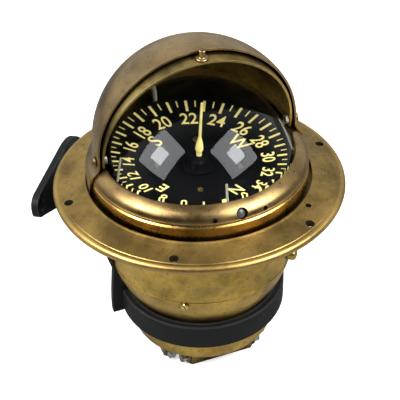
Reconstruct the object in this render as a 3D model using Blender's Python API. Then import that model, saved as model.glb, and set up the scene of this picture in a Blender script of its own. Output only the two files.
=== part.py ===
"""Binnacle compass with a brass hood, a turning visor and a black bulkhead bracket.

Millimetres in the constants, metres in the meshes. +Z is up, +Y is the fore side (the hood's
back), -Y the side read from, X runs along the hood pivots. z = 0 is the underside of the
corrector base.
"""
import bpy
import bmesh
import math
from mathutils import Matrix, Vector

for old in list(bpy.data.objects):
    bpy.data.objects.remove(old, do_unlink=True)

MM = 0.001
SEG = 40

# --- driving dimensions (mm) -------------------------------------------------------------
BASE_H = 13.7            # corrector base thickness
BASE_ARM = 43.0          # half length of each arm of the cross
BASE_HALF = 27.0         # half width of an arm
ROD_R = 3.4              # corrector rod radius
ROD_HALF = 33.5          # half length of a rod
ROD_OFF = 38.2           # rod axis from the middle
ROD_Z = 5.6              # rod axis height

CASE_R = 70.2            # drum of the case
CASE_WALL = 1.6
SEAM_Z = 86.0            # joint between drum and lower case
FOOT_R = 58.5            # narrow lower part the bracket ring goes round
FLANGE_R = 108.0
FLANGE_Z = 151.0         # top of the flange at its rolled edge
LIP_R = 83.0
BOLT_CIRCLE = 99.0
RIM_R = 80.5             # bowl rim band and bezel
RIM_TOP = 164.2
BEZEL_TOP = 175.9
GLASS_EDGE_R = 70.2

DOME_Z = 150.1           # centre of the dome's sphere
DOME_R = 73.6
DOME_WALL = 3.2
CARD_Z = 155.1           # top face of the card
CARD_R = 50.0
PIVOT_TIP = 158.8        # point the card hangs on
CARD_TILT = 3.8          # the card hangs this many degrees off the axis of the case
TILT_AXIS = (0.334, 0.943, 0.0)

PIVOT_Z = 182.0          # hood pivot axis
HOOD_R = 76.4
HOOD_WALL = 1.5
VISOR_R = 72.6
VISOR_WALL = 1.5
VISOR_FRONT = 100.0      # degrees from the fore side, over the top
VISOR_BACK = 20.0
VISOR_EAR = 3.8          # width kept round the pivots

RING_R = 65.6
RING_BORE = 61.4
RING_Z0, RING_Z1 = 35.0, 56.0
BRACKET_AZ = 149.0       # direction the bracket reaches out, degrees from +X
WALL_X0, WALL_X1 = 114.5, 119.5


# --- materials ---------------------------------------------------------------------------
def material(name, colour, metallic, rough, alpha=1.0):
    mat = bpy.data.materials.new(name)
    mat.use_nodes = True
    bsdf = mat.node_tree.nodes["Principled BSDF"]
    bsdf.inputs["Base Color"].default_value = (*colour, 1.0)
    bsdf.inputs["Metallic"].default_value = metallic
    bsdf.inputs["Roughness"].default_value = rough
    bsdf.inputs["Alpha"].default_value = alpha
    return mat


LOOKS = {
    "brass": ((0.45, 0.31, 0.12), 1.0, 0.38, 1.0),
    "bright_brass": ((0.60, 0.42, 0.16), 1.0, 0.30, 1.0),
    "black_paint": ((0.012, 0.012, 0.013), 0.0, 0.45, 1.0),
    "black_inner": ((0.006, 0.006, 0.006), 0.0, 0.55, 1.0),
    "glass": ((0.90, 0.93, 0.92), 0.0, 0.03, 0.35),
    "steel": ((0.55, 0.56, 0.55), 1.0, 0.30, 1.0),
    "card": ((0.010, 0.010, 0.010), 0.0, 0.50, 1.0),
    "lume": ((0.80, 0.76, 0.42), 0.0, 0.55, 1.0),
    "rubber": ((0.02, 0.02, 0.02), 0.0, 0.80, 1.0),
}


# --- helpers -----------------------------------------------------------------------------
def finish(name, bm, look, sharp=32.0):
    """Turn a bmesh into an object with smooth faces, creases and its own material."""
    bmesh.ops.recalc_face_normals(bm, faces=bm.faces)
    limit = math.radians(sharp)
    for face in bm.faces:
        face.smooth = True
    for edge in bm.edges:
        if len(edge.link_faces) == 2 and edge.calc_face_angle(0.0) > limit:
            edge.smooth = False
    mesh = bpy.data.meshes.new(name)
    bm.to_mesh(mesh)
    bm.free()
    obj = bpy.data.objects.new(name, mesh)
    bpy.context.collection.objects.link(obj)
    if look:
        mesh.materials.append(material(name, *LOOKS[look]))
    return obj


def lathe(profile, seg=SEG):
    """Closed ring of (radius, height) points turned about Z; radius 0 closes on the axis."""
    bm = bmesh.new()
    rows = []
    for r, z in profile:
        if r < 1e-6:
            rows.append([bm.verts.new((0.0, 0.0, z * MM))])
            continue
        rows.append([bm.verts.new((r * MM * math.cos(2 * math.pi * i / seg),
                                   r * MM * math.sin(2 * math.pi * i / seg), z * MM))
                     for i in range(seg)])
    for row, nxt in zip(rows, rows[1:] + rows[:1]):
        for i in range(seg):
            j = (i + 1) % seg
            if len(row) == 1 and len(nxt) == 1:
                continue
            if len(row) == 1:
                bm.faces.new((row[0], nxt[i], nxt[j]))
            elif len(nxt) == 1:
                bm.faces.new((row[i], nxt[0], row[j]))
            else:
                bm.faces.new((row[i], nxt[i], nxt[j], row[j]))
    return bm


def arc(cx, cz, radius, a0, a1, steps):
    """Points of a circle in the profile plane, angles in degrees from +radius toward +z."""
    return [(cx + radius * math.cos(math.radians(a0 + (a1 - a0) * k / steps)),
             cz + radius * math.sin(math.radians(a0 + (a1 - a0) * k / steps)))
            for k in range(steps + 1)]


def move(bm, matrix):
    bmesh.ops.transform(bm, matrix=matrix, verts=bm.verts)
    return bm


def box(x0, x1, y0, y1, z0, z1):
    bm = bmesh.new()
    bmesh.ops.create_cube(bm, size=1.0)
    for v in bm.verts:
        v.co = Vector(((x0 + x1) / 2 + v.co.x * (x1 - x0), (y0 + y1) / 2 + v.co.y * (y1 - y0),
                       (z0 + z1) / 2 + v.co.z * (z1 - z0))) * MM
    return bm


def prism(outline, h0, h1):
    """Extrude a closed (x, y) outline from z = h0 to z = h1."""
    bm = bmesh.new()
    low = [bm.verts.new((x * MM, y * MM, h0 * MM)) for x, y in outline]
    top = [bm.verts.new((x * MM, y * MM, h1 * MM)) for x, y in outline]
    bm.faces.new(list(reversed(low)))
    bm.faces.new(top)
    for i in range(len(low)):
        j = (i + 1) % len(low)
        bm.faces.new((low[i], low[j], top[j], top[i]))
    return bm


def cutter(name, bm):
    obj = finish(name, bm, None)
    obj.hide_render = True
    obj.display_type = "WIRE"
    return obj


def cut(obj, name, bm, operation="DIFFERENCE"):
    mod = obj.modifiers.new(name, "BOOLEAN")
    mod.operation = operation
    mod.solver = "EXACT"
    mod.object = cutter(name, bm)
    return obj


def pose(direction, origin):
    """Matrix taking +Z to a direction, placed at an origin in mm."""
    turn = Vector((0, 0, 1)).rotation_difference(Vector(direction).normalized())
    return Matrix.Translation(Vector(origin) * MM) @ turn.to_matrix().to_4x4()


def around(azimuth, radius=1.0, z=0.0):
    """Point at an azimuth counted from the aft side (-Y) toward +X."""
    a = math.radians(azimuth)
    return Vector((radius * math.sin(a), -radius * math.cos(a), z))


# --- corrector base ----------------------------------------------------------------------
a, b, c = BASE_ARM, BASE_HALF, 2.0
cross = [(b, a - c), (b - c, a), (c - b, a), (-b, a - c), (-b, b), (c - a, b), (-a, b - c),
         (-a, c - b), (c - a, -b), (-b, -b), (-b, c - a), (c - b, -a), (b - c, -a),
         (b, c - a), (b, -b), (a - c, -b), (a, c - b), (a, b - c), (a - c, b), (b, b)]
base = finish("corrector_base", prism(cross, 0.0, BASE_H), "brass")
rod_axes = {
    "aft": ((1, 0, 0), (0, -ROD_OFF, ROD_Z)), "fore": ((1, 0, 0), (0, ROD_OFF, ROD_Z)),
    "port": ((0, 1, 0), (-ROD_OFF, 0, ROD_Z)), "starboard": ((0, 1, 0), (ROD_OFF, 0, ROD_Z)),
}
for side, (axis, mid) in rod_axes.items():
    bore = lathe([(0, -48), (ROD_R + 0.35, -48), (ROD_R + 0.35, 48), (0, 48)], 18)
    cut(base, "bore_" + side, move(bore, pose(axis, mid)))
    rod = lathe([(0, -ROD_HALF), (ROD_R - 0.5, -ROD_HALF), (ROD_R, 0.5 - ROD_HALF),
                 (ROD_R, ROD_HALF - 0.5), (ROD_R - 0.5, ROD_HALF), (0, ROD_HALF)], 16)
    rod = finish("corrector_rod_" + side, move(rod, pose(axis, (0, 0, 0))), "steel")
    for k, end in enumerate((-1, 1)):
        slot = box(-0.6, 0.6, -5, 5, ROD_HALF - 1.6, ROD_HALF + 2)
        slot = move(slot, pose([end * v for v in axis], (0, 0, 0)))
        cut(rod, "slot_%s_%d" % (side, k), move(slot, Matrix.Translation(Vector(mid) * MM)))
    rod.location = Vector(mid) * MM
for k, (sx, sy) in enumerate(((1, 1), (-1, 1), (-1, -1), (1, -1)), 1):
    hole = lathe([(0, -1), (4.3, -1), (4.3, 3.4), (2.0, 3.4), (2.0, 15), (0, 15)], 10)
    cut(base, "base_hole_%d" % k, move(hole, Matrix.Translation((sx * 0.017, sy * 0.017, 0))))
    screw = lathe([(0, 0.4), (3.9, 0.4), (3.9, 3.1), (1.6, 3.1), (1.6, 13.4), (0, 13.4)], 10)
    finish("base_screw_%d" % k, move(screw, Matrix.Translation((sx * 0.017, sy * 0.017, 0))),
           "steel")

# --- case --------------------------------------------------------------------------------
shoulder = arc(0.0, 98.0, 71.6, -9.8, -34.9, 4)
inside = arc(0.0, 98.0, 71.6 - CASE_WALL, -34.0, -9.9, 3)
lower = ([(0, 14.1), (53.2, 14.1), (55.6, 15.0), (56.8, 17.5), (57.2, 22.0), (57.4, 34.0)]
         + list(reversed(shoulder)) + [(inside[-1][0], shoulder[0][1])]
         + list(reversed(inside[:-1])) + [(56.9, 56.0), (55.4, 34.0), (55.2, 19.0),
                                          (52.0, 15.9), (0, 15.9)])
lower_case = finish("lower_case", lathe(lower), "brass")
drum = [(CASE_R - CASE_WALL, SEAM_Z + 0.3), (CASE_R, SEAM_Z + 0.3), (CASE_R, 150.0),
        (CASE_R - CASE_WALL, 150.0)]
finish("case_drum", lathe(drum), "brass")
for k, az in enumerate((-30.0, 90.0, 210.0), 1):
    out = around(az)
    spot = around(az, 0.0, 82.5)
    hole = lathe([(0, 60), (1.8, 60), (1.8, 75), (0, 75)], 10)
    cut(lower_case, "case_hole_%d" % k, move(hole, pose(out, spot)))
    screw = lathe([(0, 66.5), (1.4, 66.5), (1.4, 70.5), (3.0, 70.5), (3.0, 71.5), (2.4, 72.1),
                   (0, 72.1)], 12)
    screw = finish("case_screw_%d" % k, move(screw, pose(out, spot)), "bright_brass")
    groove = box(-0.45, 0.45, -4, 4, 71.3, 73)
    cut(screw, "case_slot_%d" % k, move(groove, pose(out, spot)))
gland = lathe([(0, 70.9), (4.8, 70.9), (4.8, 74.6), (3.9, 76.2), (2.2, 76.9), (0, 77.0)], 20)
finish("cable_gland", move(gland, pose(around(50.0), (0, 0, 92.5))), "brass")

# --- mounting flange ---------------------------------------------------------------------
plate = [(70.6, 143.6), (70.6, 150.2), (82.9, 150.2), (82.9, 154.2), (83.5, 154.7),
         (84.5, 154.5), (85.6, 153.9), (103.6, 151.7), (106.4, 150.9), (FLANGE_R, 148.0),
         (107.2, 146.0), (105.4, 145.3), (103.4, 147.2), (79.0, 147.2), (75.0, 143.6)]
flange = finish("mounting_flange", lathe(plate, 48), "brass")
for k in range(6):
    hole = lathe([(0, 140), (3.0, 140), (3.0, 160), (0, 160)], 14)
    spin = Matrix.Rotation(math.radians(5.0 + 3.0 * k), 4, "Z")
    spot = around(30.0 + 60.0 * k, BOLT_CIRCLE)
    cut(flange, "flange_hole_%d" % k, move(hole, pose((0, 0, 1), spot) @ spin))
hole = lathe([(0, 140), (2.2, 140), (2.2, 160), (0, 160)], 12)
cut(flange, "flange_pin_hole", move(hole, pose((0, 0, 1), around(39.5, 88.8))))

# --- bowl rim, bezel and their small parts -----------------------------------------------
rim = [(66.8, 150.6), (RIM_R, 150.6), (RIM_R, 163.6), (79.9, RIM_TOP), (66.8, RIM_TOP)]
finish("bowl_rim", lathe(rim), "bright_brass")
ring = [(GLASS_EDGE_R, 164.6), (79.9, 164.6), (RIM_R, 165.2), (80.4, 167.4), (79.6, 169.6),
        (78.2, 171.6), (76.2, 173.4), (73.8, 174.9), (71.6, BEZEL_TOP), (70.4, 175.7)]
bezel = finish("bezel", lathe(ring, 44), "brass")
lamp_dir = Vector((0.02, -0.84, 0.54))
lamp_at = Vector((1.8, -73.4, 166.6))
hole = lathe([(0, 1.6), (4.1, 1.6), (4.1, 14), (0, 14)], 18)
cut(bezel, "lamp_bore", move(hole, pose(lamp_dir, lamp_at)))
lens = lathe([(0, 2.0), (3.6, 2.0), (3.6, 3.4), (2.6, 4.3), (0, 4.8)], 20)
finish("lamp_lens", move(lens, pose(lamp_dir, lamp_at)), "glass")
for k, az in enumerate((-12.5, 14.0), 1):
    hole = lathe([(0, 74.6), (1.8, 74.6), (1.8, 84), (0, 84)], 12)
    cut(bezel, "bezel_hole_%d" % k, move(hole, pose(around(az), (0, 0, 168.4))))
    screw = lathe([(0, 74.9), (1.45, 74.9), (1.45, 78.0), (0, 78.0)], 12)
    finish("bezel_screw_%d" % k, move(screw, pose(around(az), (0, 0, 168.4))), "brass")

# --- glass dome and the bowl below it ----------------------------------------------------
edge = math.degrees(math.acos(69.5 / DOME_R))
outer = arc(0.0, DOME_Z, DOME_R, 90.0, edge, 8)
inner_r = DOME_R - DOME_WALL
inner = arc(0.0, DOME_Z, inner_r, math.degrees(math.acos(66.3 / inner_r)), 90.0, 7)
outer[0], inner[-1] = (0, outer[0][1]), (0, inner[-1][1])
dome = outer + [(69.5, 166.4), (66.3, 166.4)] + inner
finish("glass_dome", lathe(dome), "glass", 60.0)
finish("dome_gasket", lathe([(66.4, 164.5), (69.6, 164.5), (69.6, 166.1), (66.4, 166.1)]),
       "rubber")
bowl_out = arc(0.0, 150.0, 66.4, 0.0, -66.0, 5)
bowl_in = arc(0.0, 150.0, 64.8, -65.6, 0.0, 5)
bowl = ([(66.4, 163.9)] + bowl_out + [(0, bowl_out[-1][1]), (0, bowl_in[0][1])] + bowl_in
        + [(64.8, 163.9)])
finish("inner_bowl", lathe(bowl, 32), "black_inner")
finish("lubber_ring", lathe([(51.0, 150.6), (64.4, 150.6), (64.4, 152.4), (51.0, 152.4)]),
       "black_inner")
for name, az in (("aft", 0.0), ("starboard", 90.0), ("fore", 180.0), ("port", 270.0)):
    post = lathe([(0, 152.7), (0.85, 152.7), (0.85, 176.6), (0.45, 177.4), (0, 177.4)], 12)
    finish("lubber_post_" + name, move(post, pose((0, 0, 1), around(az, 52.4))), "lume")

# --- card and its pivot ------------------------------------------------------------------
pivot = Matrix.Translation((0, 0, PIVOT_TIP * MM))
hang = (pivot @ Matrix.Rotation(math.radians(CARD_TILT), 4, Vector(TILT_AXIS))
        @ pivot.inverted())
card = lathe([(5.2, CARD_Z - 1.0), (CARD_R, CARD_Z - 1.0), (CARD_R, CARD_Z), (5.2, CARD_Z)])
finish("card", move(card, hang), "card")
hub = [(3.2, CARD_Z + 0.3), (8.6, CARD_Z + 0.3), (8.6, CARD_Z + 1.3), (6.2, CARD_Z + 2.2),
       (5.2, CARD_Z + 5.5), (3.8, CARD_Z + 7.6), (0, CARD_Z + 7.8), (0, CARD_Z + 5.6),
       (3.2, CARD_Z + 4.4)]
finish("card_hub", move(lathe(hub, 24), hang), "card")
pin = [(0, 163.2), (1.5, 163.2), (1.6, 165.4), (2.2, 167.2), (2.15, 169.4), (1.8, 172.0), (1.2, 174.2),
       (0.85, 175.8), (0.75, 204.6), (0.4, 205.2), (0, 205.2)]
finish("shadow_pin", move(lathe(pin, 14), hang), "lume")
hull = [(7.0, 145.8), (16.0, 144.8), (25.0, 146.4), (29.0, 149.8), (29.6, 153.7), (7.0, 153.7)]
finish("card_float", move(lathe(hull, 28), hang), "black_inner")
for k, y in enumerate((-13.0, 13.0), 1):
    bar = box(-20, 20, y - 2.5, y + 2.5, 139.6, 144.4)
    finish("card_magnet_%d" % k, move(bar, hang), "steel")
for k in range(4):
    head = lathe([(0, CARD_Z + 0.3), (1.7, CARD_Z + 0.3), (1.5, CARD_Z + 1.1),
                  (0, CARD_Z + 1.3)], 14)
    at = around(342.7 + 90.0 * k, 22.5)
    head = move(move(head, pose((0, 0, 1), at)), hang)
    finish("card_screw_%d" % (k + 1), head, "bright_brass")
finish("pivot_bridge", prism([(-55, -5), (55, -5), (55, 5), (-55, 5)], 122.5, 126.0),
       "brass")
post = [(0, 126.3), (5.0, 126.3), (5.0, 130.0), (2.2, 133.0), (2.2, 154.2), (0.6, 158.6),
        (0, 158.8)]
finish("pivot_post", lathe(post, 24), "steel")

# --- hood --------------------------------------------------------------------------------
ball = arc(0.0, PIVOT_Z, HOOD_R, 90.0, 2.0, 9)
ball[0] = (0, ball[0][1])
skirt = [(76.8, 178.2), (78.4, 174.6), (80.9, 171.4), (82.5, 167.8), (82.6, 162.0),
         (82.5, 152.4)]
skirt_in = [(81.1, 152.4), (81.2, 162.0), (81.1, 167.4), (79.9, 170.4), (77.2, 173.9),
            (75.3, 177.8)]
ball_in = arc(0.0, PIVOT_Z, HOOD_R - HOOD_WALL, 2.0, 90.0, 9)
ball_in[-1] = (0, ball_in[-1][1])
hood = finish("hood", lathe(ball + skirt + skirt_in + ball_in, 44), "brass", 40.0)
front = [(-8.6, 266), (-6.6, 232), (-4.9, 205), (-4.6, 190), (-5.2, 182), (-4.6, 174),
         (-2.4, 166), (1.6, 159), (5.0, 150), (5.0, 140), (-110, 140), (-110, 266)]
gate = move(prism([(y, z) for y, z in front], -110, 110),
            Matrix(((0, 0, 1, 0), (1, 0, 0, 0), (0, 1, 0, 0), (0, 0, 0, 1))))
cut(hood, "hood_opening", gate)

# --- visor -------------------------------------------------------------------------------
cap = arc(0.0, 0.0, VISOR_R, 90.0, -90.0, 18)
cap[0], cap[-1] = (0, VISOR_R), (0, -VISOR_R)
hollow = arc(0.0, 0.0, VISOR_R - VISOR_WALL, -90.0, 90.0, 18)
centre = Matrix.Translation((0, 0, PIVOT_Z * MM))
sideways = Matrix.Rotation(math.radians(90.0), 4, "Y")
visor = finish("visor", move(lathe(cap, 44), sideways), "brass", 40.0)
visor.location = (0, 0, PIVOT_Z * MM)
hollow[0] = (0, 0.0 - VISOR_R + VISOR_WALL)
hollow[-1] = (0, VISOR_R - VISOR_WALL)
for name, angle, sense in (("visor_front_cut", VISOR_FRONT, 1.0),
                           ("visor_back_cut", VISOR_BACK, -1.0)):
    slab = box(-90, 90, VISOR_EAR, 200, -200, 200)
    t = math.radians(angle)
    along = Vector((0.0, math.cos(t), math.sin(t)))
    normal = Vector((0.0, -math.sin(t), math.cos(t))) * sense
    side = normal.cross(along)
    turn = Matrix((side, normal, along)).transposed().to_4x4()
    cut(visor, name, move(slab, centre @ turn))
cut(visor, "visor_hollow", move(lathe(list(reversed(hollow)), 44), centre @ sideways))
t = math.radians(99.6)
knob_dir = Vector((0.0, math.cos(t), math.sin(t)))
knob = lathe([(0, 73.0), (4.3, 73.0), (4.3, 73.7), (3.0, 74.2), (2.3, 74.8), (2.2, 78.4),
              (2.7, 79.4), (2.3, 80.4), (0, 80.7)], 16)
knob = finish("visor_knob", move(knob, pose(knob_dir, (0, 0, 0))), "brass")
knob.location = (0, 0, PIVOT_Z * MM)
for name, x in (("port", -1), ("starboard", 1)):
    bore = lathe([(0, 64), (2.2, 64), (2.2, 84), (0, 84)], 14)
    cut(hood, "hood_bore_" + name, move(bore, pose((x, 0, 0), (0, 0, PIVOT_Z))))
    bore = lathe([(0, 64), (2.2, 64), (2.2, 84), (0, 84)], 14)
    cut(visor, "visor_bore_" + name, move(bore, pose((x, 0, 0), (0, 0, PIVOT_Z))))
    screw = lathe([(0, 69.2), (1.8, 69.2), (1.8, 77.0), (3.9, 77.0), (3.9, 77.9), (3.0, 78.9),
                   (0, 79.2)], 16)
    finish("pivot_screw_" + name, move(screw, pose((x, 0, 0), (0, 0, PIVOT_Z))), "brass")
    nut = lathe([(2.1, 68.7), (3.6, 68.7), (3.6, 70.6), (2.1, 70.6)], 14)
    finish("pivot_nut_" + name, move(nut, pose((x, 0, 0), (0, 0, PIVOT_Z))), "steel")

# --- bulkhead bracket --------------------------------------------------------------------
turn = Matrix.Rotation(math.radians(BRACKET_AZ), 4, "Z")
collar = [(RING_BORE, RING_Z0), (RING_R - 0.8, RING_Z0), (RING_R, RING_Z0 + 0.8),
          (RING_R, RING_Z1 - 0.8), (RING_R - 0.8, RING_Z1), (RING_BORE, RING_Z1)]
bracket = finish("bulkhead_bracket", lathe(collar), "black_paint")


def sweep(section, low, high, steps):
    """Solid swept round Z from a closed (radius, height) section, angles in degrees from +X."""
    bm = bmesh.new()
    rows = []
    for k in range(steps + 1):
        t = math.radians(low + (high - low) * k / steps)
        rows.append([bm.verts.new((r * MM * math.cos(t), r * MM * math.sin(t), z * MM))
                     for r, z in section])
    count = len(section)
    for row, nxt in zip(rows, rows[1:]):
        for i in range(count):
            j = (i + 1) % count
            bm.faces.new((row[i], row[j], nxt[j], nxt[i]))
    bm.faces.new(rows[0])
    bm.faces.new(list(reversed(rows[-1])))
    bmesh.ops.recalc_face_normals(bm, faces=bm.faces)
    return bm


riser = [(70.3, 38.0), (70.3, 62.0), (71.2, 76.0), (74.4, 88.0), (74.4, 116.0),
         (71.0, 116.0), (71.0, 86.0), (70.0, 80.0), (68.5, 75.0), (66.6, 70.0),
         (64.2, 64.0), (63.2, 57.6), (63.2, 38.0)]
cut(bracket, "riser", move(sweep(riser, -23.5, 27.0, 12), turn), "UNION")
edge = [(63.6, 36.3), (74.6, 36.3), (74.4, 46.0), (73.8, 56.0), (72.4, 70.0), (71.4, 80.0),
        (73.2, 88.0), (71.5, 88.0), (71.25, 86.0), (70.25, 80.0), (68.75, 75.0),
        (66.85, 70.0), (64.45, 64.0), (63.6, 58.4)]
cut(bracket, "riser_edge", move(sweep(edge, 26.0, 31.0, 2), turn), "UNION")
shelf = prism([(68.8, -25), (117, -34), (117, -6), (72.6, 4)], 106.5, 112.5)
cut(bracket, "shelf", move(shelf, turn), "UNION")
for k, (y, root) in enumerate(((-22.0, 69.2), (-8.0, 72.0))):
    rib = [(root, 90), (root, 108), (116.5, 108), (116.5, 100)]
    rib = move(prism([(x, z) for x, z in rib], y - 2.5, y + 2.5),
               Matrix(((1, 0, 0, 0), (0, 0, 1, 0), (0, 1, 0, 0), (0, 0, 0, 1))))
    cut(bracket, "rib_%d" % k, move(rib, turn), "UNION")
outline = [(-39.2, 131.5), (-38.6, 136.0), (-35.8, 139.4), (-31.0, 141.0), (36.0, 141.0),
           (48.0, 139.0), (60.0, 134.0), (69.0, 126.5), (72.0, 119.0), (69.5, 111.5),
           (62.0, 107.0), (50.0, 104.0), (34.0, 97.0), (20.0, 96.0), (8.0, 101.5),
           (0.0, 105.5), (-10.0, 110.5), (-20.0, 115.5), (-30.0, 120.4), (-35.0, 122.8),
           (-38.2, 126.5)]
stand = Matrix(((0, 0, 1, 0), (-1, 0, 0, 0), (0, 1, 0, 0), (0, 0, 0, 1)))
wall = move(prism(outline, WALL_X0, WALL_X1), stand)
cut(bracket, "wall_plate", move(wall, turn), "UNION")
for k, (s, z) in enumerate(((-30.0, 130.5), (58.0, 120.0)), 1):
    hole = lathe([(0, 105), (3.4, 105), (3.4, 125), (0, 125)], 20)
    cut(bracket, "wall_hole_%d" % k, move(hole, turn @ pose((1, 0, 0), (0, -s, z))))
    bolt = lathe([(0, 112.6), (3.2, 112.9), (4.6, 113.8), (4.6, 114.1), (3.0, 114.1),
                  (3.0, 119.2), (0, 119.2)], 16)
    finish("wall_bolt_%d" % k, move(bolt, turn @ pose((1, 0, 0), (0, -s, z))), "black_paint")
for k, az in enumerate((-20.0, -8.0), 1):
    spin = turn @ Matrix.Rotation(math.radians(az), 4, "Z")
    hole = lathe([(0, 55), (2.2, 55), (2.2, 80), (0, 80)], 12)
    cut(bracket, "clamp_hole_%d" % k, move(hole, spin @ pose((1, 0, 0), (0, 0, 47.5))))
    screw = lathe([(0, 58.9), (1.8, 58.9), (1.8, 70.8), (3.8, 70.8), (3.8, 73.0), (0, 73.4)], 12)
    finish("clamp_screw_%d" % k, move(screw, spin @ pose((1, 0, 0), (0, 0, 47.5))), "steel")
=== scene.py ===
"""Looks of the binnacle compass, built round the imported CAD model.

Lengths in the profiles are millimetres; meshes are in metres. +Z is up, -Y the side it is read
from, the hood stands over the +Y side and its pivots lie along X.
"""
import math

import bmesh
import bpy
from mathutils import Matrix, Vector


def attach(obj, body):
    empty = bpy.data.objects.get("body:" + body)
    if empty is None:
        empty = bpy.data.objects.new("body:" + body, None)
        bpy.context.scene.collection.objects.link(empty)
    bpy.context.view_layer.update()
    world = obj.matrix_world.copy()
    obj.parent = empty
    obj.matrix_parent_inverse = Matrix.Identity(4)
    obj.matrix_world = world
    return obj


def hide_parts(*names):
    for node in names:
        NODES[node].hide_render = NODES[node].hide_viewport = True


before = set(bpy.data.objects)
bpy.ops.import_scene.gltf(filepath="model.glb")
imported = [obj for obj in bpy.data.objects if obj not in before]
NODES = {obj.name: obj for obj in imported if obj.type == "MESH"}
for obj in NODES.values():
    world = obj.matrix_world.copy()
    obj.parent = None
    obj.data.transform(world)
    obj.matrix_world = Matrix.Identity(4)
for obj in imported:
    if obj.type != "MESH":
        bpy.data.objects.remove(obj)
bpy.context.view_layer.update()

MM = 0.001
FINE = 160          # segments round the large turned pieces
PIVOT_Z = 182.0     # axis of the visor
DOME_Z, DOME_R, DOME_WALL = 150.1, 73.6, 3.2
CARD_Z, CARD_R = 155.1, 50.0
PIVOT_TIP = 158.8   # point the card hangs on
CARD_TILT = 3.8     # degrees the card hangs off the axis of the case
TILT_AXIS = Vector((0.334, 0.943, 0.0))
BRACKET_AZ = math.radians(149.0)
READING_FORE = 206.2   # card reading under the fore lubber post, degrees
BOLT_CIRCLE = 99.0     # radius of the six holes in the flange
PIN_AZ, PIN_R = 39.5, 88.8
CLAMP_AZ = (-20.0, -8.0)   # clamp screws, degrees from the middle of the bracket
CLAMP_Z = 47.5
CASE_SCREW_AZ, CASE_SCREW_Z = (-30.0, 90.0, 210.0), 82.5
WALL_BOLTS = ((-30.0, 130.5), (58.0, 120.0))   # (sideways, height) on the wall plate
ROD_OFF, ROD_Z = 38.2, 5.6


# --- mesh helpers ------------------------------------------------------------------------
def lathe(profile, seg=FINE):
    """Closed ring of (radius, height) points turned about Z; radius 0 closes on the axis."""
    bm = bmesh.new()
    rows = []
    for r, z in profile:
        if r < 1e-6:
            rows.append([bm.verts.new((0.0, 0.0, z * MM))])
            continue
        rows.append([bm.verts.new((r * MM * math.cos(2 * math.pi * i / seg),
                                   r * MM * math.sin(2 * math.pi * i / seg), z * MM))
                     for i in range(seg)])
    for row, nxt in zip(rows, rows[1:] + rows[:1]):
        if len(row) == 1 and len(nxt) == 1:
            continue
        for i in range(seg):
            j = (i + 1) % seg
            if len(row) == 1:
                bm.faces.new((row[0], nxt[i], nxt[j]))
            elif len(nxt) == 1:
                bm.faces.new((row[i], nxt[0], row[j]))
            else:
                bm.faces.new((row[i], nxt[i], nxt[j], row[j]))
    return bm


def arc(cx, cz, radius, a0, a1, steps):
    return [(cx + radius * math.cos(math.radians(a0 + (a1 - a0) * k / steps)),
             cz + radius * math.sin(math.radians(a0 + (a1 - a0) * k / steps)))
            for k in range(steps + 1)]


def curved(points, steps=4):
    """Catmull-Rom curve through the points."""
    out = []
    ends = [points[0]] + list(points) + [points[-1]]
    for p0, p1, p2, p3 in zip(ends, ends[1:], ends[2:], ends[3:]):
        for k in range(steps):
            t = k / steps
            out.append(tuple(0.5 * (2 * b + (c - a) * t + (2 * a - 5 * b + 4 * c - d) * t * t
                                    + (3 * b - a - 3 * c + d) * t ** 3)
                             for a, b, c, d in zip(p0, p1, p2, p3)))
    return out + [tuple(points[-1])]


def prism(outline, h0, h1):
    bm = bmesh.new()
    low = [bm.verts.new((x * MM, y * MM, h0 * MM)) for x, y in outline]
    top = [bm.verts.new((x * MM, y * MM, h1 * MM)) for x, y in outline]
    bm.faces.new(list(reversed(low)))
    bm.faces.new(top)
    for i in range(len(low)):
        j = (i + 1) % len(low)
        bm.faces.new((low[i], low[j], top[j], top[i]))
    return bm


def box(x0, x1, y0, y1, z0, z1):
    return prism([(x0, y0), (x1, y0), (x1, y1), (x0, y1)], z0, z1)


def sweep(section, low, high, steps):
    """Solid swept round Z from a closed (radius, height) section, angles in degrees from +X."""
    bm = bmesh.new()
    rows = []
    for k in range(steps + 1):
        t = math.radians(low + (high - low) * k / steps)
        rows.append([bm.verts.new((r * MM * math.cos(t), r * MM * math.sin(t), z * MM))
                     for r, z in section])
    count = len(section)
    for row, nxt in zip(rows, rows[1:]):
        for i in range(count):
            j = (i + 1) % count
            bm.faces.new((row[i], row[j], nxt[j], nxt[i]))
    bm.faces.new(rows[0])
    bm.faces.new(list(reversed(rows[-1])))
    return bm


def move(bm, matrix):
    bmesh.ops.transform(bm, matrix=matrix, verts=bm.verts)
    return bm


def pose(direction, origin):
    """Matrix taking +Z to a direction, placed at an origin in mm."""
    turn = Vector((0, 0, 1)).rotation_difference(Vector(direction).normalized())
    return Matrix.Translation(Vector(origin) * MM) @ turn.to_matrix().to_4x4()


def around(azimuth, radius=1.0, z=0.0):
    """Point at an azimuth counted from the aft side (-Y) toward +X."""
    a = math.radians(azimuth)
    return Vector((radius * math.sin(a), -radius * math.cos(a), z))


def join(parts):
    """One bmesh from several."""
    whole = bmesh.new()
    for part in parts:
        mesh = bpy.data.meshes.new("part")
        part.to_mesh(mesh)
        part.free()
        whole.from_mesh(mesh)
        bpy.data.meshes.remove(mesh)
    return whole


def to_object(name, bm, sharp=30.0):
    bmesh.ops.recalc_face_normals(bm, faces=bm.faces)
    limit = math.radians(sharp)
    for face in bm.faces:
        face.smooth = True
    for edge in bm.edges:
        if len(edge.link_faces) == 2 and edge.calc_face_angle(0.0) > limit:
            edge.smooth = False
    mesh = bpy.data.meshes.new(name)
    bm.to_mesh(mesh)
    bm.free()
    obj = bpy.data.objects.new(name, mesh)
    bpy.context.scene.collection.objects.link(obj)
    return obj


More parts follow.
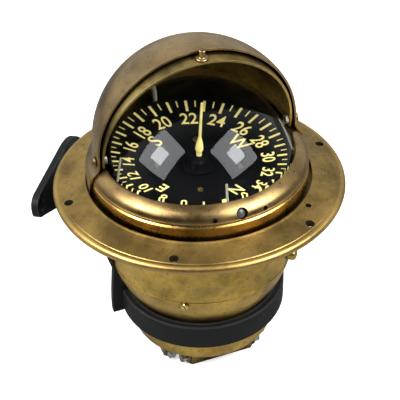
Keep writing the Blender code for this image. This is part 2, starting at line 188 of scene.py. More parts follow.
def bake(obj, sharp=30.0):
    """Apply the modifiers, then mark the sharp edges again."""
    bpy.context.view_layer.update()
    graph = bpy.context.evaluated_depsgraph_get()
    mesh = bpy.data.meshes.new_from_object(obj.evaluated_get(graph))
    obj.modifiers.clear()
    bm = bmesh.new()
    bm.from_mesh(mesh)
    bmesh.ops.remove_doubles(bm, verts=bm.verts, dist=2e-6)
    for face in bm.faces:
        face.smooth = True
    for edge in bm.edges:
        if len(edge.link_faces) == 2:
            edge.smooth = edge.calc_face_angle(0.0) <= math.radians(sharp)
    bm.to_mesh(mesh)
    bm.free()
    obj.data = mesh
    return obj


def boolean(obj, cutters, operation="DIFFERENCE"):
    helpers = []
    for k, bm in enumerate(cutters):
        tool = to_object("%s_tool_%d" % (obj.name, k), bm)
        mod = obj.modifiers.new("cut_%d" % k, "BOOLEAN")
        mod.operation, mod.solver, mod.object = operation, "EXACT", tool
        helpers.append(tool)
    bake(obj)
    for tool in helpers:
        bpy.data.objects.remove(tool, do_unlink=True)
    return obj


def piece(name, bm, mat, body, nodes=(), cuts=(), adds=(), round_edge=0.0, sharp=30.0):
    """A visible piece that rides on a body and stands for the CAD nodes named."""
    obj = to_object(name, bm, sharp)
    if adds:
        boolean(obj, adds, "UNION")
    if cuts:
        boolean(obj, cuts)
    if round_edge:
        bevel(obj, round_edge)
    obj.data.materials.clear()
    for m in (mat if isinstance(mat, (list, tuple)) else [mat]):
        obj.data.materials.append(m)
    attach(obj, body)
    if nodes:
        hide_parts(*nodes)
    return obj


def bevel(obj, width, segments=2):
    mod = obj.modifiers.new("edges", "BEVEL")
    mod.width, mod.segments = width * MM, segments
    mod.limit_method, mod.angle_limit = "ANGLE", math.radians(35)
    mod.use_clamp_overlap = True
    mod.harden_normals = False


# --- material helpers --------------------------------------------------------------------
def add(tree, kind, inputs=None, **props):
    """New node; inputs take numbers, colours or sockets to link."""
    node = tree.nodes.new(kind)
    for key, value in props.items():
        setattr(node, key, value)
    for key, value in (inputs or {}).items():
        if isinstance(value, bpy.types.NodeSocket):
            tree.links.new(value, node.inputs[key])
        else:
            node.inputs[key].default_value = value
    return node


def new_material(name):
    mat = bpy.data.materials.new(name)
    mat.use_nodes = True
    mat.node_tree.nodes.clear()
    return mat, mat.node_tree


def output(tree, shader):
    out = add(tree, "ShaderNodeOutputMaterial")
    tree.links.new(shader, out.inputs["Surface"])


def mix(tree, factor, a, b, blend="MIX"):
    node = add(tree, "ShaderNodeMix", data_type="RGBA", blend_type=blend)
    for index, value in ((0, factor), (6, a), (7, b)):
        if isinstance(value, bpy.types.NodeSocket):
            tree.links.new(value, node.inputs[index])
        else:
            node.inputs[index].default_value = value
    return node.outputs[2]


def ramp(tree, value, low, high, out_low=0.0, out_high=1.0):
    node = add(tree, "ShaderNodeMapRange", {0: value, 1: low, 2: high, 3: out_low, 4: out_high})
    return node.outputs[0]


def calc(tree, op, a, b=0.0):
    return add(tree, "ShaderNodeMath", {0: a, 1: b}, operation=op).outputs[0]


def noise(tree, vector, scale, detail=5.0, rough=0.6):
    node = add(tree, "ShaderNodeTexNoise", {"Vector": vector, "Scale": scale, "Detail": detail,
                                            "Roughness": rough})
    return node.outputs["Fac"]


def places(tree):
    """Object position, radius from the axis and height."""
    pos = add(tree, "ShaderNodeTexCoord").outputs["Object"]
    split = add(tree, "ShaderNodeSeparateXYZ", {0: pos})
    x, y, z = split.outputs
    radius = calc(tree, "SQRT", calc(tree, "ADD", calc(tree, "MULTIPLY", x, x),
                                     calc(tree, "MULTIPLY", y, y)))
    return pos, radius, z, calc(tree, "ARCTAN2", y, x)


def edge_wear(tree, radius=0.0008):
    """1 on convex edges and in sharp corners, 0 on open surface."""
    soft = add(tree, "ShaderNodeBevel", {"Radius": radius}, samples=4).outputs[0]
    true = add(tree, "ShaderNodeNewGeometry").outputs["Normal"]
    dot = add(tree, "ShaderNodeVectorMath", {0: soft, 1: true}, operation="DOT_PRODUCT")
    return ramp(tree, dot.outputs["Value"], 0.995, 0.86)


def brass(name, light, mid, dark, rough=(0.26, 0.46), patch=28.0, stain=0.5, green=0.0,
          turned=0.5, bump=0.25, wear=0.6, painted_rim_highlight=None, metal=1.0):
    """Aged brass: patches of tone, stains, green in the low places, turning marks, rubbed edges,
    painted shade darkening the crevices and an optional painted highlight band at a radius.
    """
    mat, t = new_material(name)
    pos, radius, z, angle = places(t)
    rings = add(t, "ShaderNodeCombineXYZ", {0: radius, 1: z,
                                            2: calc(t, "MULTIPLY", angle, 0.004)}).outputs[0]
    big = noise(t, pos, patch, 6.0, 0.62)
    small = noise(t, pos, patch * 9.0, 5.0, 0.7)
    marks = noise(t, rings, 1500.0, 3.0, 0.7)
    colour = mix(t, ramp(t, big, 0.36, 0.52), (*dark, 1), (*mid, 1))
    colour = mix(t, ramp(t, big, 0.50, 0.66), colour, (*light, 1))
    spots = calc(t, "MULTIPLY", ramp(t, small, 0.52, 0.72), stain)
    colour = mix(t, spots, colour, (dark[0] * 0.55, dark[1] * 0.5, dark[2] * 0.5, 1))
    colour = mix(t, calc(t, "MULTIPLY", ramp(t, marks, 0.42, 0.7), 0.30 * turned), colour,
                 (light[0], light[1], light[2], 1))
    pits = noise(t, pos, 420.0, 2.0, 0.5)
    colour = mix(t, ramp(t, pits, 0.67, 0.73, 0.0, 0.75), colour,
                 (dark[0] * 0.3, dark[1] * 0.28, dark[2] * 0.25, 1))
    if green:
        tint = calc(t, "MULTIPLY", ramp(t, noise(t, pos, patch * 1.7, 6.0, 0.7), 0.52, 0.64), green)
        colour = mix(t, tint, colour, (0.16, 0.17, 0.09, 1))
    # painted shade: the colour is pulled toward dark brown where the ambient occlusion finds
    # crevices and recesses
    cavity = add(t, "ShaderNodeAmbientOcclusion", {"Distance": 0.007}, samples=6).outputs["AO"]
    crevice_painted_shade = ramp(t, cavity, 0.35, 0.9, 0.75, 0.0)
    colour = mix(t, crevice_painted_shade, colour, (0.035, 0.025, 0.014, 1))
    # rubbed edges turn lighter; the optional radius band is lightened too, a painted highlight
    # along a rolled rim
    wear_and_painted_highlight = calc(t, "MULTIPLY", edge_wear(t), wear)
    if painted_rim_highlight:
        start, stop, share = painted_rim_highlight
        band = ramp(t, radius, start * MM, stop * MM, 0.0, share)
        wear_and_painted_highlight = calc(t, "MAXIMUM", wear_and_painted_highlight, band)
    colour = mix(t, wear_and_painted_highlight, colour, (min(1, light[0] * 1.45), min(1, light[1] * 1.42),
                                   min(1, light[2] * 1.5), 1))
    shine = ramp(t, calc(t, "ADD", big, calc(t, "MULTIPLY", small, 0.5)), 0.5, 1.0,
                 rough[0], rough[1])
    shine = calc(t, "ADD", shine, calc(t, "MULTIPLY", spots, 0.15))
    height = calc(t, "ADD", calc(t, "MULTIPLY", small, 0.6), calc(t, "MULTIPLY", marks, turned))
    bumped = add(t, "ShaderNodeBump", {"Height": height, "Strength": bump, "Distance": 0.00012})
    bsdf = add(t, "ShaderNodeBsdfPrincipled", {"Base Color": colour, "Metallic": metal,
                                               "Roughness": shine,
                                               "Normal": bumped.outputs[0]})
    output(t, bsdf.outputs[0])
    return mat


def plain(name, colour, rough, metallic=0.0, vary=0.25, scale=120.0, bump=0.1, chips=None,
          painted_glow=0.0, shine=0.5):
    """Paint, rubber or steel: fine tone variation, uneven gloss, a light grain and an optional
    painted glow.
    """
    mat, t = new_material(name)
    pos = places(t)[0]
    grain, broad = noise(t, pos, scale * 6, 4.0), noise(t, pos, scale * 0.5, 4.0)
    shade = [min(1.0, c * (1 + vary)) for c in colour]
    deep = [c * (1 - vary) for c in colour]
    base = mix(t, ramp(t, broad, 0.35, 0.65), (*deep, 1), (*shade, 1))
    if chips:
        chip_colour, low, share = chips
        bare = ramp(t, noise(t, pos, 210.0, 5.0, 0.7), low, low + 0.02)
        bare = calc(t, "MAXIMUM", bare, calc(t, "MULTIPLY", edge_wear(t, 0.0006), share))
        base = mix(t, bare, base, (*chip_colour, 1))
    bumped = add(t, "ShaderNodeBump", {"Height": grain, "Strength": bump, "Distance": 0.00015})
    bsdf = add(t, "ShaderNodeBsdfPrincipled",
               {"Base Color": base, "Metallic": metallic,
                "Roughness": ramp(t, broad, 0.3, 0.7, rough * 0.85, rough * 1.15),
                "Normal": bumped.outputs[0]})
    bsdf.inputs["Specular IOR Level"].default_value = shine
    # painted glow: the base colour is also sent out as light, though the piece is no lamp
    if painted_glow:
        t.links.new(base, bsdf.inputs["Emission Color"])
        bsdf.inputs["Emission Strength"].default_value = painted_glow
    output(t, bsdf.outputs[0])
    return mat


def dome_glass():
    """Outer face of the dome: bends light as glass filled with liquid does."""
    mat, t = new_material("liquid_dome_glass")
    bsdf = add(t, "ShaderNodeBsdfPrincipled",
               {"Base Color": (0.97, 0.985, 0.975, 1), "Roughness": 0.0,
                "Transmission Weight": 1.0, "IOR": 1.40,
                "Specular IOR Level": 0.2})
    clear = add(t, "ShaderNodeBsdfTransparent", {"Color": (0.95, 0.96, 0.95, 1)})
    lamp = add(t, "ShaderNodeLightPath").outputs["Is Shadow Ray"]
    both = add(t, "ShaderNodeMixShader", {0: lamp, 1: bsdf.outputs[0], 2: clear.outputs[0]})
    output(t, both.outputs[0])
    return mat


def clear_inside():
    """Inner face of the dome: glass against liquid, which hardly shows."""
    mat, t = new_material("liquid_contact")
    clear = add(t, "ShaderNodeBsdfTransparent", {"Color": (1, 1, 1, 1)})
    output(t, clear.outputs[0])
    return mat


# --- materials ---------------------------------------------------------------------------
hood_brass = brass("hood_brass", (0.46, 0.325, 0.155), (0.36, 0.25, 0.118), (0.22, 0.15, 0.07),
                   rough=(0.30, 0.48), patch=22.0, stain=0.30, turned=0.25, wear=0.9)
bezel_brass = brass("bezel_brass", (0.50, 0.335, 0.13), (0.38, 0.25, 0.10), (0.22, 0.14, 0.055),
                    rough=(0.24, 0.42), patch=26.0, stain=0.35, turned=0.8)
# the rolled rim of the flange gets a painted highlight band
flange_brass = brass("flange_brass", (0.48, 0.315, 0.095), (0.36, 0.235, 0.07),
                     (0.20, 0.13, 0.04), rough=(0.30, 0.50), patch=30.0, stain=0.55,
                     turned=0.9, painted_rim_highlight=(103.4, 105.0, 0.45))
band_brass = brass("band_brass", (0.80, 0.50, 0.15), (0.66, 0.40, 0.11), (0.40, 0.24, 0.07),
                   rough=(0.20, 0.36), stain=0.25, turned=0.9)
case_brass = brass("case_brass", (0.86, 0.57, 0.135), (0.66, 0.43, 0.10), (0.36, 0.23, 0.055),
                   rough=(0.28, 0.48), patch=24.0, stain=0.45, green=0.30, turned=0.5)
visor_brass = brass("visor_brass", (0.52, 0.39, 0.15), (0.37, 0.275, 0.10), (0.18, 0.13, 0.05),
                    rough=(0.34, 0.52), stain=0.4, turned=0.2, wear=0.9)
small_brass = brass("small_brass", (0.44, 0.31, 0.15), (0.32, 0.22, 0.10), (0.18, 0.12, 0.055),
                    patch=90.0, stain=0.3)
gold_brass = brass("gold_brass", (0.86, 0.62, 0.24), (0.70, 0.48, 0.17), (0.42, 0.28, 0.10),
                   rough=(0.22, 0.36), patch=120.0, stain=0.15)
base_brass = brass("base_brass", (0.60, 0.42, 0.13), (0.42, 0.29, 0.09), (0.20, 0.14, 0.05),
                   patch=45.0, stain=0.6, green=0.5)
black_satin = plain("black_satin", (0.0045, 0.0045, 0.005), 0.6, bump=0.9, scale=110.0, shine=0.3,
                    chips=((0.42, 0.38, 0.30), 0.735, 0.22))
black_matt = plain("black_matt", (0.002, 0.002, 0.002), 0.7, shine=0.05)
card_black = plain("card_black", (0.003, 0.003, 0.0035), 0.6, shine=0.05)
# the luminous marks get a faint painted glow
lume = plain("lume", (0.86, 0.72, 0.24), 0.55, vary=0.06, painted_glow=0.10)
post_lume = plain("post_lume", (0.42, 0.39, 0.27), 0.5, vary=0.08)
silver = plain("silver", (0.60, 0.61, 0.60), 0.28, metallic=1.0, bump=0.3)
rubber = plain("rubber", (0.015, 0.015, 0.015), 0.8)
# dark grey standing for the shade of the lamp recess: painted shade on the lens
lens_painted_shade = plain("lens_painted_shade", (0.10, 0.10, 0.095), 0.30, vary=0.15)
# near-black brown standing for the shade inside the flange holes: painted shade
hole_painted_shade = plain("hole_painted_shade", (0.018, 0.012, 0.007), 0.7, shine=0.1)
outer_glass, inner_clear = dome_glass(), clear_inside()

# --- flange, rim band and bezel ----------------------------------------------------------
roll = arc(104.9, 148.4, 3.1, 108.0, -78.0, 22)
flange_profile = ([(70.6, 143.6), (70.6, 150.2), (82.9, 150.2)]
                  + curved([(82.9, 153.9), (83.2, 154.5), (83.9, 154.7), (84.8, 154.3)], 3)
                  + [(85.6, 153.9), (94.0, 152.87), (102.9, 151.8), (103.3, 151.45)] + roll
                  + [(104.6, 145.8), (103.4, 147.2), (79.0, 147.2), (75.0, 143.6)])
flange_holes = []
for k in range(6):
    hole = lathe([(0, 140), (3.0, 140), (3.0, 151.2), (3.35, 151.9), (3.35, 160), (0, 160)], 40)
    spin = Matrix.Rotation(math.radians(2.0 + 1.3 * k), 4, "Z")
    flange_holes.append(move(hole, pose((0, 0, 1), around(30.0 + 60.0 * k, BOLT_CIRCLE)) @ spin))
flange_holes.append(move(lathe([(0, 140), (2.2, 140), (2.2, 160), (0, 160)], 32),
                         pose((0, 0, 1), around(PIN_AZ, PIN_R))))
flange = piece("flange_turned", lathe(flange_profile, 192), [flange_brass, hole_painted_shade],
               "case", ["mounting_flange"], cuts=flange_holes)
# the walls of the holes get a near-black material as painted shade, the rest is brass
centres = [around(30.0 + 60.0 * k, BOLT_CIRCLE) for k in range(6)] + [around(PIN_AZ, PIN_R)]
for face in flange.data.polygons:
    reach = min((face.center.xy / MM - c.xy).length for c in centres)
    face.material_index = 1 if reach < 3.2 and abs(face.normal.z) < 0.5 else 0

rim_profile = [(66.8, 150.6), (80.2, 150.6), (80.5, 150.9), (80.5, 162.9), (80.3, 163.1),
               (80.3, 163.4), (80.5, 163.6), (79.9, 164.2), (66.8, 164.2)]
piece("rim_band", lathe(rim_profile), band_brass, "case", ["bowl_rim"])

bezel_outer = curved([(80.4, 167.4), (79.6, 169.6), (78.2, 171.6), (76.2, 173.4), (73.8, 174.9),
                      (71.6, 175.9)], 5)
bezel_profile = ([(70.2, 164.6), (79.9, 164.6), (80.5, 165.1), (80.5, 166.5), (80.15, 166.7),
                  (80.15, 166.95), (80.45, 167.15)] + bezel_outer + [(70.7, 175.9), (70.2, 175.4)])
lamp = pose((0.02, -0.84, 0.54), (1.8, -73.4, 166.6))
bezel_cuts = [move(lathe([(0, 1.6), (4.1, 1.6), (4.1, 14), (0, 14)], 48), lamp)]
for az in (-12.5, 14.0):
    bezel_cuts.append(move(lathe([(0, 74.6), (1.8, 74.6), (1.8, 84), (0, 84)], 32),
                           pose(around(az), (0, 0, 168.4))))
piece("bezel_turned", lathe(bezel_profile), bezel_brass, "case", ["bezel"],
      cuts=bezel_cuts)
# the lamp lens takes the dark painted-shade material of its recess
piece("lamp_window", move(lathe([(0, 2.0), (3.6, 2.0), (3.6, 3.4)]
                                + curved([(3.4, 3.7), (2.6, 4.3), (1.2, 4.7)], 4)
                                + [(0, 4.8)], 40), lamp), lens_painted_shade, "case",
      ["lamp_lens"])

# --- dome --------------------------------------------------------------------------------
edge = math.degrees(math.acos(69.5 / DOME_R))
inner_r = DOME_R - DOME_WALL
outer = arc(0.0, DOME_Z, DOME_R, 90.0, edge, 40)
inner = arc(0.0, DOME_Z, inner_r, math.degrees(math.acos(66.3 / inner_r)), 90.0, 40)
outer[0], inner[-1] = (0, outer[0][1]), (0, inner[-1][1])
dome = piece("dome_glass", lathe(outer + [(69.5, 166.4), (66.3, 166.4)] + inner),
             [outer_glass, inner_clear], "case", ["glass_dome"], sharp=60.0)
for face in dome.data.polygons:
    middle = face.center - Vector((0, 0, DOME_Z * MM))
    face.material_index = 1 if middle.length < (inner_r + 0.6) * MM else 0

# --- case --------------------------------------------------------------------------------
shoulder = arc(0.0, 98.0, 71.6, -9.8, -34.9, 20)
inside = arc(0.0, 98.0, 70.0, -34.0, -9.9, 16)
lower_profile = ([(0, 14.1)]
                 + curved([(53.2, 14.1), (55.6, 15.0), (56.8, 17.5), (57.2, 22.0), (57.4, 34.0)], 4)
                 + list(reversed(shoulder)) + [(inside[-1][0], shoulder[0][1])]
                 + list(reversed(inside[:-1])) + [(56.9, 56.0), (55.4, 34.0), (55.2, 19.0),
                                                  (52.0, 15.9), (0, 15.9)])
case_holes = [move(lathe([(0, 60), (1.8, 60), (1.8, 75), (0, 75)], 24),
                   pose(around(az), (0, 0, CASE_SCREW_Z))) for az in CASE_SCREW_AZ]
piece("lower_case_spun", lathe(lower_profile, 128), case_brass, "case",
      ["lower_case"], cuts=case_holes)
drum_profile = [(68.6, 86.02), (70.2, 86.02), (70.2, 150.0), (68.6, 150.0)]
piece("case_drum_turned", lathe(drum_profile, 128), case_brass, "case",
      ["case_drum"])
gland = [(0, 70.9), (4.8, 70.9), (4.8, 74.2)] + curved([(4.6, 74.9), (3.9, 76.2), (2.2, 76.9)], 3)
piece("gland_turned", move(lathe(gland + [(0, 77.0)], 40), pose(around(50.0), (0, 0, 92.5))),
      case_brass, "case", ["cable_gland"])

# --- card and its marks ------------------------------------------------------------------
pivot = Matrix.Translation((0, 0, PIVOT_TIP * MM))
hang = pivot @ Matrix.Rotation(math.radians(CARD_TILT), 4, TILT_AXIS) @ pivot.inverted()
card_profile = [(5.2, CARD_Z - 1.0), (CARD_R, CARD_Z - 1.0), (CARD_R, CARD_Z), (5.2, CARD_Z)]
piece("card_disc", move(lathe(card_profile), hang), card_black, "card", ["card"])


def card_angle(value):
    return math.radians(value - READING_FORE)


def on_card(value, radius, z):
    """Matrix with local +Y pointing outward at a card reading."""
    a = card_angle(value)
    out, right = Vector((math.sin(a), math.cos(a), 0)), Vector((math.cos(a), -math.sin(a), 0))
    m = Matrix((right, out, (0, 0, 1))).transposed().to_4x4()
    return Matrix.Translation(out * radius * MM + Vector((0, 0, z * MM))) @ m


MARK_Z = CARD_Z + 0.02
ticks = []
for value in range(0, 360, 5):
    r0, r1, half = (42.9, 48.6, 0.62) if value % 10 == 0 else (45.4, 48.6, 0.30)
    ticks.append(move(box(-half, half, r0, r1, 0.0, 0.12), on_card(value, 0, MARK_Z)))
piece("card_ticks", move(join(ticks), hang), lume, "card")


def lettering(text, size, narrow):
    curve = bpy.data.curves.new("text", "FONT")
    curve.body, curve.size = text, size * MM
    curve.align_x, curve.align_y = "CENTER", "CENTER"
    curve.extrude, curve.resolution_u = 0.00006, 6
    curve.offset = 0.00009
    holder = bpy.data.objects.new("text", curve)
    bpy.context.scene.collection.objects.link(holder)
    bpy.context.view_layer.update()
    graph = bpy.context.evaluated_depsgraph_get()
    mesh = bpy.data.meshes.new_from_object(holder.evaluated_get(graph))
    bm = bmesh.new()
    bm.from_mesh(mesh)
    bpy.data.objects.remove(holder, do_unlink=True)
    bpy.data.meshes.remove(mesh)
    return move(bm, Matrix.Diagonal((narrow, 1.0, 1.0, 1.0)))


numbers = [move(lettering(str(v // 10), 10.0, 0.86), on_card(v, 37.7, MARK_Z + 0.06))
           for v in range(0, 360, 20)]
piece("card_numbers", move(join(numbers), hang), lume, "card")
letters = [move(lettering(c, 11.4, 0.95), on_card(v, 29.5, MARK_Z + 0.06))
           for c, v in (("N", 0), ("E", 90), ("S", 180), ("W", 270))]
piece("card_letters", move(join(letters), hang), lume, "card")

# --- hood --------------------------------------------------------------------------------
ball = arc(0.0, PIVOT_Z, 76.4, 90.0, 4.0, 44)
ball[0] = (0, ball[0][1])
skirt = curved([ball[-1], (76.8, 178.2), (78.4, 174.6), (80.9, 171.4), (82.5, 167.8),
                (82.6, 164.0), (82.6, 162.0)], 5)
skirt_in = curved([(81.1, 162.0), (81.2, 164.0), (81.1, 167.4), (79.9, 170.4), (77.2, 173.9),
                   (75.3, 177.8)], 5)
ball_in = arc(0.0, PIVOT_Z, 74.9, 2.0, 90.0, 44)
ball_in[-1] = (0, ball_in[-1][1])
front = curved([(-8.6, 266), (-6.6, 232), (-4.9, 205), (-4.6, 190), (-5.2, 182), (-4.6, 174),
                (-2.4, 166), (1.6, 159), (5.0, 150), (5.0, 140)], 5)
to_side = Matrix(((0, 0, 1, 0), (1, 0, 0, 0), (0, 1, 0, 0), (0, 0, 0, 1)))
gate = move(prism([(y, z) for y, z in front] + [(-110, 140), (-110, 266)], -110, 110), to_side)
pivots = (("port", -1), ("starboard", 1))
bores = [move(lathe([(0, 64), (2.2, 64), (2.2, 84), (0, 84)], 32),
              pose((x, 0, 0), (0, 0, PIVOT_Z))) for _, x in pivots]
hood_bm = lathe(ball + skirt[1:] + [(82.5, 152.4), (81.1, 152.4)] + skirt_in + ball_in[1:])
piece("hood_spun", hood_bm, hood_brass, "case", ["hood"], cuts=[gate] + bores,
      round_edge=0.35)

# --- visor -------------------------------------------------------------------------------
VISOR_R, VISOR_WALL, VISOR_EAR = 72.6, 1.5, 3.8
cap = arc(0.0, 0.0, VISOR_R, 90.0, -90.0, 72)
cap[0], cap[-1] = (0, VISOR_R), (0, -VISOR_R)
core = arc(0.0, 0.0, VISOR_R - VISOR_WALL, 90.0, -90.0, 72)
core[0], core[-1] = (0, VISOR_R - VISOR_WALL), (0, VISOR_WALL - VISOR_R)
centre = Matrix.Translation((0, 0, PIVOT_Z * MM))
sideways = Matrix.Rotation(math.radians(90.0), 4, "Y")
visor_cuts = []
for angle, sense in ((100.0, 1.0), (20.0, -1.0)):
    t = math.radians(angle)
    along = Vector((0.0, math.cos(t), math.sin(t)))
    normal = Vector((0.0, -math.sin(t), math.cos(t))) * sense
    frame3 = Matrix((normal.cross(along), normal, along)).transposed().to_4x4()
    visor_cuts.append(move(box(-90, 90, VISOR_EAR, 200, -200, 200), centre @ frame3))
visor_cuts.append(move(lathe(core, 128), centre @ sideways))
visor_cuts += [move(lathe([(0, 64), (2.2, 64), (2.2, 84), (0, 84)], 32),
                    pose((x, 0, 0), (0, 0, PIVOT_Z))) for _, x in pivots]
piece("visor_spun", move(lathe(cap, 128), centre @ sideways), visor_brass,
      "visor", ["visor"], cuts=visor_cuts, round_edge=0.35)
t = math.radians(99.6)
knob = ([(0, 73.0), (4.3, 73.0), (4.3, 73.6)]
        + curved([(4.0, 73.9), (3.0, 74.2), (2.3, 74.8), (2.1, 76.4), (2.2, 78.4), (2.7, 79.4),
                  (2.4, 80.15), (1.6, 80.45)], 4) + [(0, 80.5)])
piece("knob_turned", move(lathe(knob, 48), pose((0, math.cos(t), math.sin(t)), (0, 0, PIVOT_Z))),
      small_brass, "visor", ["visor_knob"])
for name, x in pivots:
    screw = ([(0, 69.2), (1.8, 69.2), (1.8, 77.0), (3.9, 77.0), (3.9, 77.7)]
             + curved([(3.7, 78.2), (3.0, 78.8), (1.6, 79.1)], 3) + [(0, 79.2)])
    piece("pivot_head_" + name, move(lathe(screw, 40), pose((x, 0, 0), (0, 0, PIVOT_Z))),
          small_brass, "case", ["pivot_screw_" + name],
          cuts=[move(box(-0.5, 0.5, -5, 5, 78.2, 81), pose((x, 0, 0), (0, 0, PIVOT_Z)))])

# --- bracket -----------------------------------------------------------------------------
turn = Matrix.Rotation(BRACKET_AZ, 4, "Z")
collar = [(61.4, 35.0), (64.8, 35.0), (65.6, 35.8), (65.6, 55.2), (64.8, 56.0), (61.4, 56.0)]
rib_turn = Matrix(((1, 0, 0, 0), (0, 0, 1, 0), (0, 1, 0, 0), (0, 0, 0, 1)))
ribs = [move(move(prism([(root, 90), (root, 108), (116.5, 108), (116.5, 100)], y - 2.5,
                        y + 2.5), rib_turn), turn) for y, root in ((-22.0, 69.2), (-8.0, 72.0))]
riser = [(70.3, 38.0), (70.3, 62.0), (71.2, 76.0), (74.4, 88.0), (74.4, 116.0),
         (71.0, 116.0), (71.0, 86.0), (70.0, 80.0), (68.5, 75.0), (66.6, 70.0),
         (64.2, 64.0), (63.2, 57.6), (63.2, 38.0)]
riser_edge = [(63.6, 36.3), (74.6, 36.3), (74.4, 46.0), (73.8, 56.0), (72.4, 70.0), (71.4, 80.0),
              (73.2, 88.0), (71.5, 88.0), (71.25, 86.0), (70.25, 80.0), (68.75, 75.0),
              (66.85, 70.0), (64.45, 64.0), (63.6, 58.4)]
lobes = curved([(-39.2, 131.5), (-38.6, 136.0), (-35.8, 139.4), (-31.0, 141.0)], 5) \
    + curved([(36.0, 141.0), (48.0, 139.0), (60.0, 134.0), (69.0, 126.5), (72.0, 119.0),
              (69.5, 111.5), (62.0, 107.0), (50.0, 104.0), (34.0, 97.0), (20.0, 96.0),
              (8.0, 101.5), (0.0, 105.5), (-10.0, 110.5), (-20.0, 115.5), (-30.0, 120.4),
              (-35.0, 122.8), (-38.2, 126.5)], 4)
stand = Matrix(((0, 0, 1, 0), (-1, 0, 0, 0), (0, 1, 0, 0), (0, 0, 0, 1)))
bracket_adds = [
    move(sweep(riser, -23.5, 27.0, 36), turn),
    move(sweep(riser_edge, 26.0, 31.0, 5), turn),
    move(prism([(68.8, -25), (117, -34), (117, -6), (72.6, 4)], 106.5, 112.5), turn),
    *ribs,
    move(move(prism(lobes, 114.5, 119.5), stand), turn)]
bracket_cuts = [move(lathe([(0, 105), (3.4, 105), (3.4, 125), (0, 125)], 32),
                     turn @ pose((1, 0, 0), (0, -s, z))) for s, z in WALL_BOLTS]
for az in CLAMP_AZ:
    spin = turn @ Matrix.Rotation(math.radians(az), 4, "Z")
    bracket_cuts.append(move(lathe([(0, 55), (2.2, 55), (2.2, 80), (0, 80)], 24),
                             spin @ pose((1, 0, 0), (0, 0, CLAMP_Z))))
piece("bracket_cast", lathe(collar), black_satin, "case", ["bulkhead_bracket"],
      adds=bracket_adds, cuts=bracket_cuts, round_edge=0.6)

# rubber strip between the ring and the foot, pierced for the clamp screws
liner = lathe([(59.4, 35.8), (61.2, 35.8), (61.2, 55.4), (59.4, 55.4)])
piece("ring_liner", liner, rubber, "case",
      cuts=[move(lathe([(0, 55), (2.4, 55), (2.4, 66), (0, 66)], 24),
                 turn @ Matrix.Rotation(math.radians(az), 4, "Z")
                 @ pose((1, 0, 0), (0, 0, CLAMP_Z))) for az in CLAMP_AZ])

# --- base details ------------------------------------------------------------------------
collars = []
for axis, mid in (((1, 0, 0), (0, -ROD_OFF, ROD_Z)), ((1, 0, 0), (0, ROD_OFF, ROD_Z)),
                  ((0, 1, 0), (-ROD_OFF, 0, ROD_Z)), ((0, 1, 0), (ROD_OFF, 0, ROD_Z))):
    for end in (-1, 1):
        ring = lathe([(3.55, 27.05), (5.1, 27.05), (5.1, 28.2), (4.7, 28.7), (3.55, 28.7)], 32)
        collars.append(move(ring, pose([end * v for v in axis], mid)))
piece("rod_collars", join(collars), small_brass, "case")

# --- CAD nodes kept as they are, with real materials; the corrector base gets rounded edges ---
KEPT = {
    small_brass: ["bezel_screw_1", "bezel_screw_2", "pivot_bridge"],
    gold_brass: ["case_screw_1", "case_screw_2", "case_screw_3", "card_screw_1",
                 "card_screw_2", "card_screw_3", "card_screw_4"],
    black_satin: ["wall_bolt_1", "wall_bolt_2"],
    lume: ["shadow_pin"],
    base_brass: ["corrector_base"],
    silver: ["corrector_rod_aft", "corrector_rod_fore", "corrector_rod_port",
             "corrector_rod_starboard", "base_screw_1", "base_screw_2", "base_screw_3",
             "base_screw_4", "card_magnet_1", "card_magnet_2", "pivot_post",
             "pivot_nut_port", "pivot_nut_starboard", "clamp_screw_1", "clamp_screw_2"],
    black_matt: ["inner_bowl", "lubber_ring", "card_float"],
    card_black: ["card_hub"],
    post_lume: ["lubber_post_aft", "lubber_post_fore", "lubber_post_port",
                "lubber_post_starboard"],
    rubber: ["dome_gasket"],
}
for mat, names in KEPT.items():
    for name in names:
        node = NODES[name]
        node.data.materials.clear()
        node.data.materials.append(mat)
bevel(NODES["corrector_base"], 0.6)

# --- floor, light and camera ---------------------------------------------------------------
floor_mat, ft = new_material("white_floor")
pale = add(ft, "ShaderNodeBsdfPrincipled",
           {"Base Color": (0.9, 0.9, 0.9, 1), "Roughness": 0.9,
            "Emission Color": (1, 1, 1, 1), "Emission Strength": 0.6})
dull = add(ft, "ShaderNodeBsdfDiffuse", {"Color": (0.35, 0.35, 0.35, 1)})
looked_at = add(ft, "ShaderNodeLightPath").outputs["Is Camera Ray"]
output(ft, add(ft, "ShaderNodeMixShader",
               {0: looked_at, 1: dull.outputs[0], 2: pale.outputs[0]}).outputs[0])
floor = to_object("floor", box(-6000, 6000, -6000, 6000, -12, -0.05))
floor.data.materials.append(floor_mat)

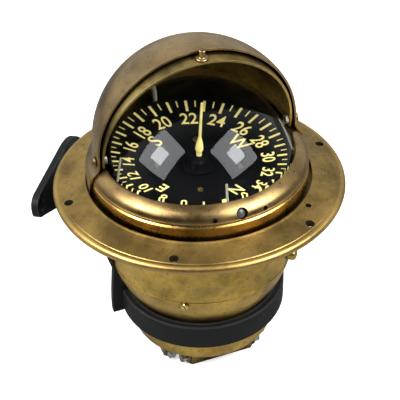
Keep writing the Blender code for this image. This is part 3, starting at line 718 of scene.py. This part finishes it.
world = bpy.data.worlds.new("studio")
bpy.context.scene.world = world
world.use_nodes = True
wt = world.node_tree
wt.nodes.clear()
seen = add(wt, "ShaderNodeBackground", {"Color": (1, 1, 1, 1), "Strength": 1.0})
way = add(wt, "ShaderNodeSeparateXYZ",
          {0: add(wt, "ShaderNodeTexCoord").outputs["Generated"]}).outputs[1]
room = add(wt, "ShaderNodeBackground", {"Color": (0.94, 0.97, 1.0, 1),
                                        "Strength": ramp(wt, way, -0.3, 0.7, 0.04, 0.75)})
camera_ray = add(wt, "ShaderNodeLightPath").outputs["Is Camera Ray"]
sky = add(wt, "ShaderNodeMixShader", {0: camera_ray, 1: room.outputs[0], 2: seen.outputs[0]})
wt.links.new(sky.outputs[0], add(wt, "ShaderNodeOutputWorld").inputs["Surface"])


def softbox(name, azimuth, elevation, distance, size, power, colour=(1, 1, 1)):
    """Area light aimed at the dome; azimuth counts from -Y toward +X."""
    a, e = math.radians(azimuth), math.radians(elevation)
    towards = Vector((math.sin(a) * math.cos(e), -math.cos(a) * math.cos(e), math.sin(e)))
    data = bpy.data.lights.new(name, "AREA")
    data.shape, data.size, data.energy, data.color = "SQUARE", size, power, colour
    obj = bpy.data.objects.new(name, data)
    bpy.context.scene.collection.objects.link(obj)
    obj.location = Vector((0, 0, 0.17)) + towards * distance
    obj.rotation_mode = "QUATERNION"
    obj.rotation_quaternion = towards.to_track_quat("Z", "Y")


for side, azimuth in (("port", -81.0), ("starboard", 40.0)):
    softbox("softbox_" + side, azimuth, 43.0, 0.75, 0.54, 5.4, (0.95, 0.98, 1.0))
    softbox("core_" + side, azimuth, 41.0, 0.74, 0.20, 1.9, (0.95, 0.98, 1.0))

camera_data = bpy.data.cameras.new("camera")
camera = bpy.data.objects.new("camera", camera_data)
bpy.context.scene.collection.objects.link(camera)
camera_data.sensor_width, camera_data.lens = 36.0, 84.9
camera_data.shift_x, camera_data.shift_y = 0.00275, -0.06625
camera_data.clip_start, camera_data.clip_end = 0.01, 50.0
camera.location = (-0.1901, -0.5368, 0.5582)
aim = (Vector((0, 0, 0.151)) - Vector(camera.location)).to_track_quat("-Z", "Y").to_matrix()
camera.rotation_euler = (aim @ Matrix.Rotation(math.radians(-1.6), 3, "Z")).to_euler()
bpy.context.scene.camera = camera
bpy.context.scene.view_settings.view_transform = "Standard"
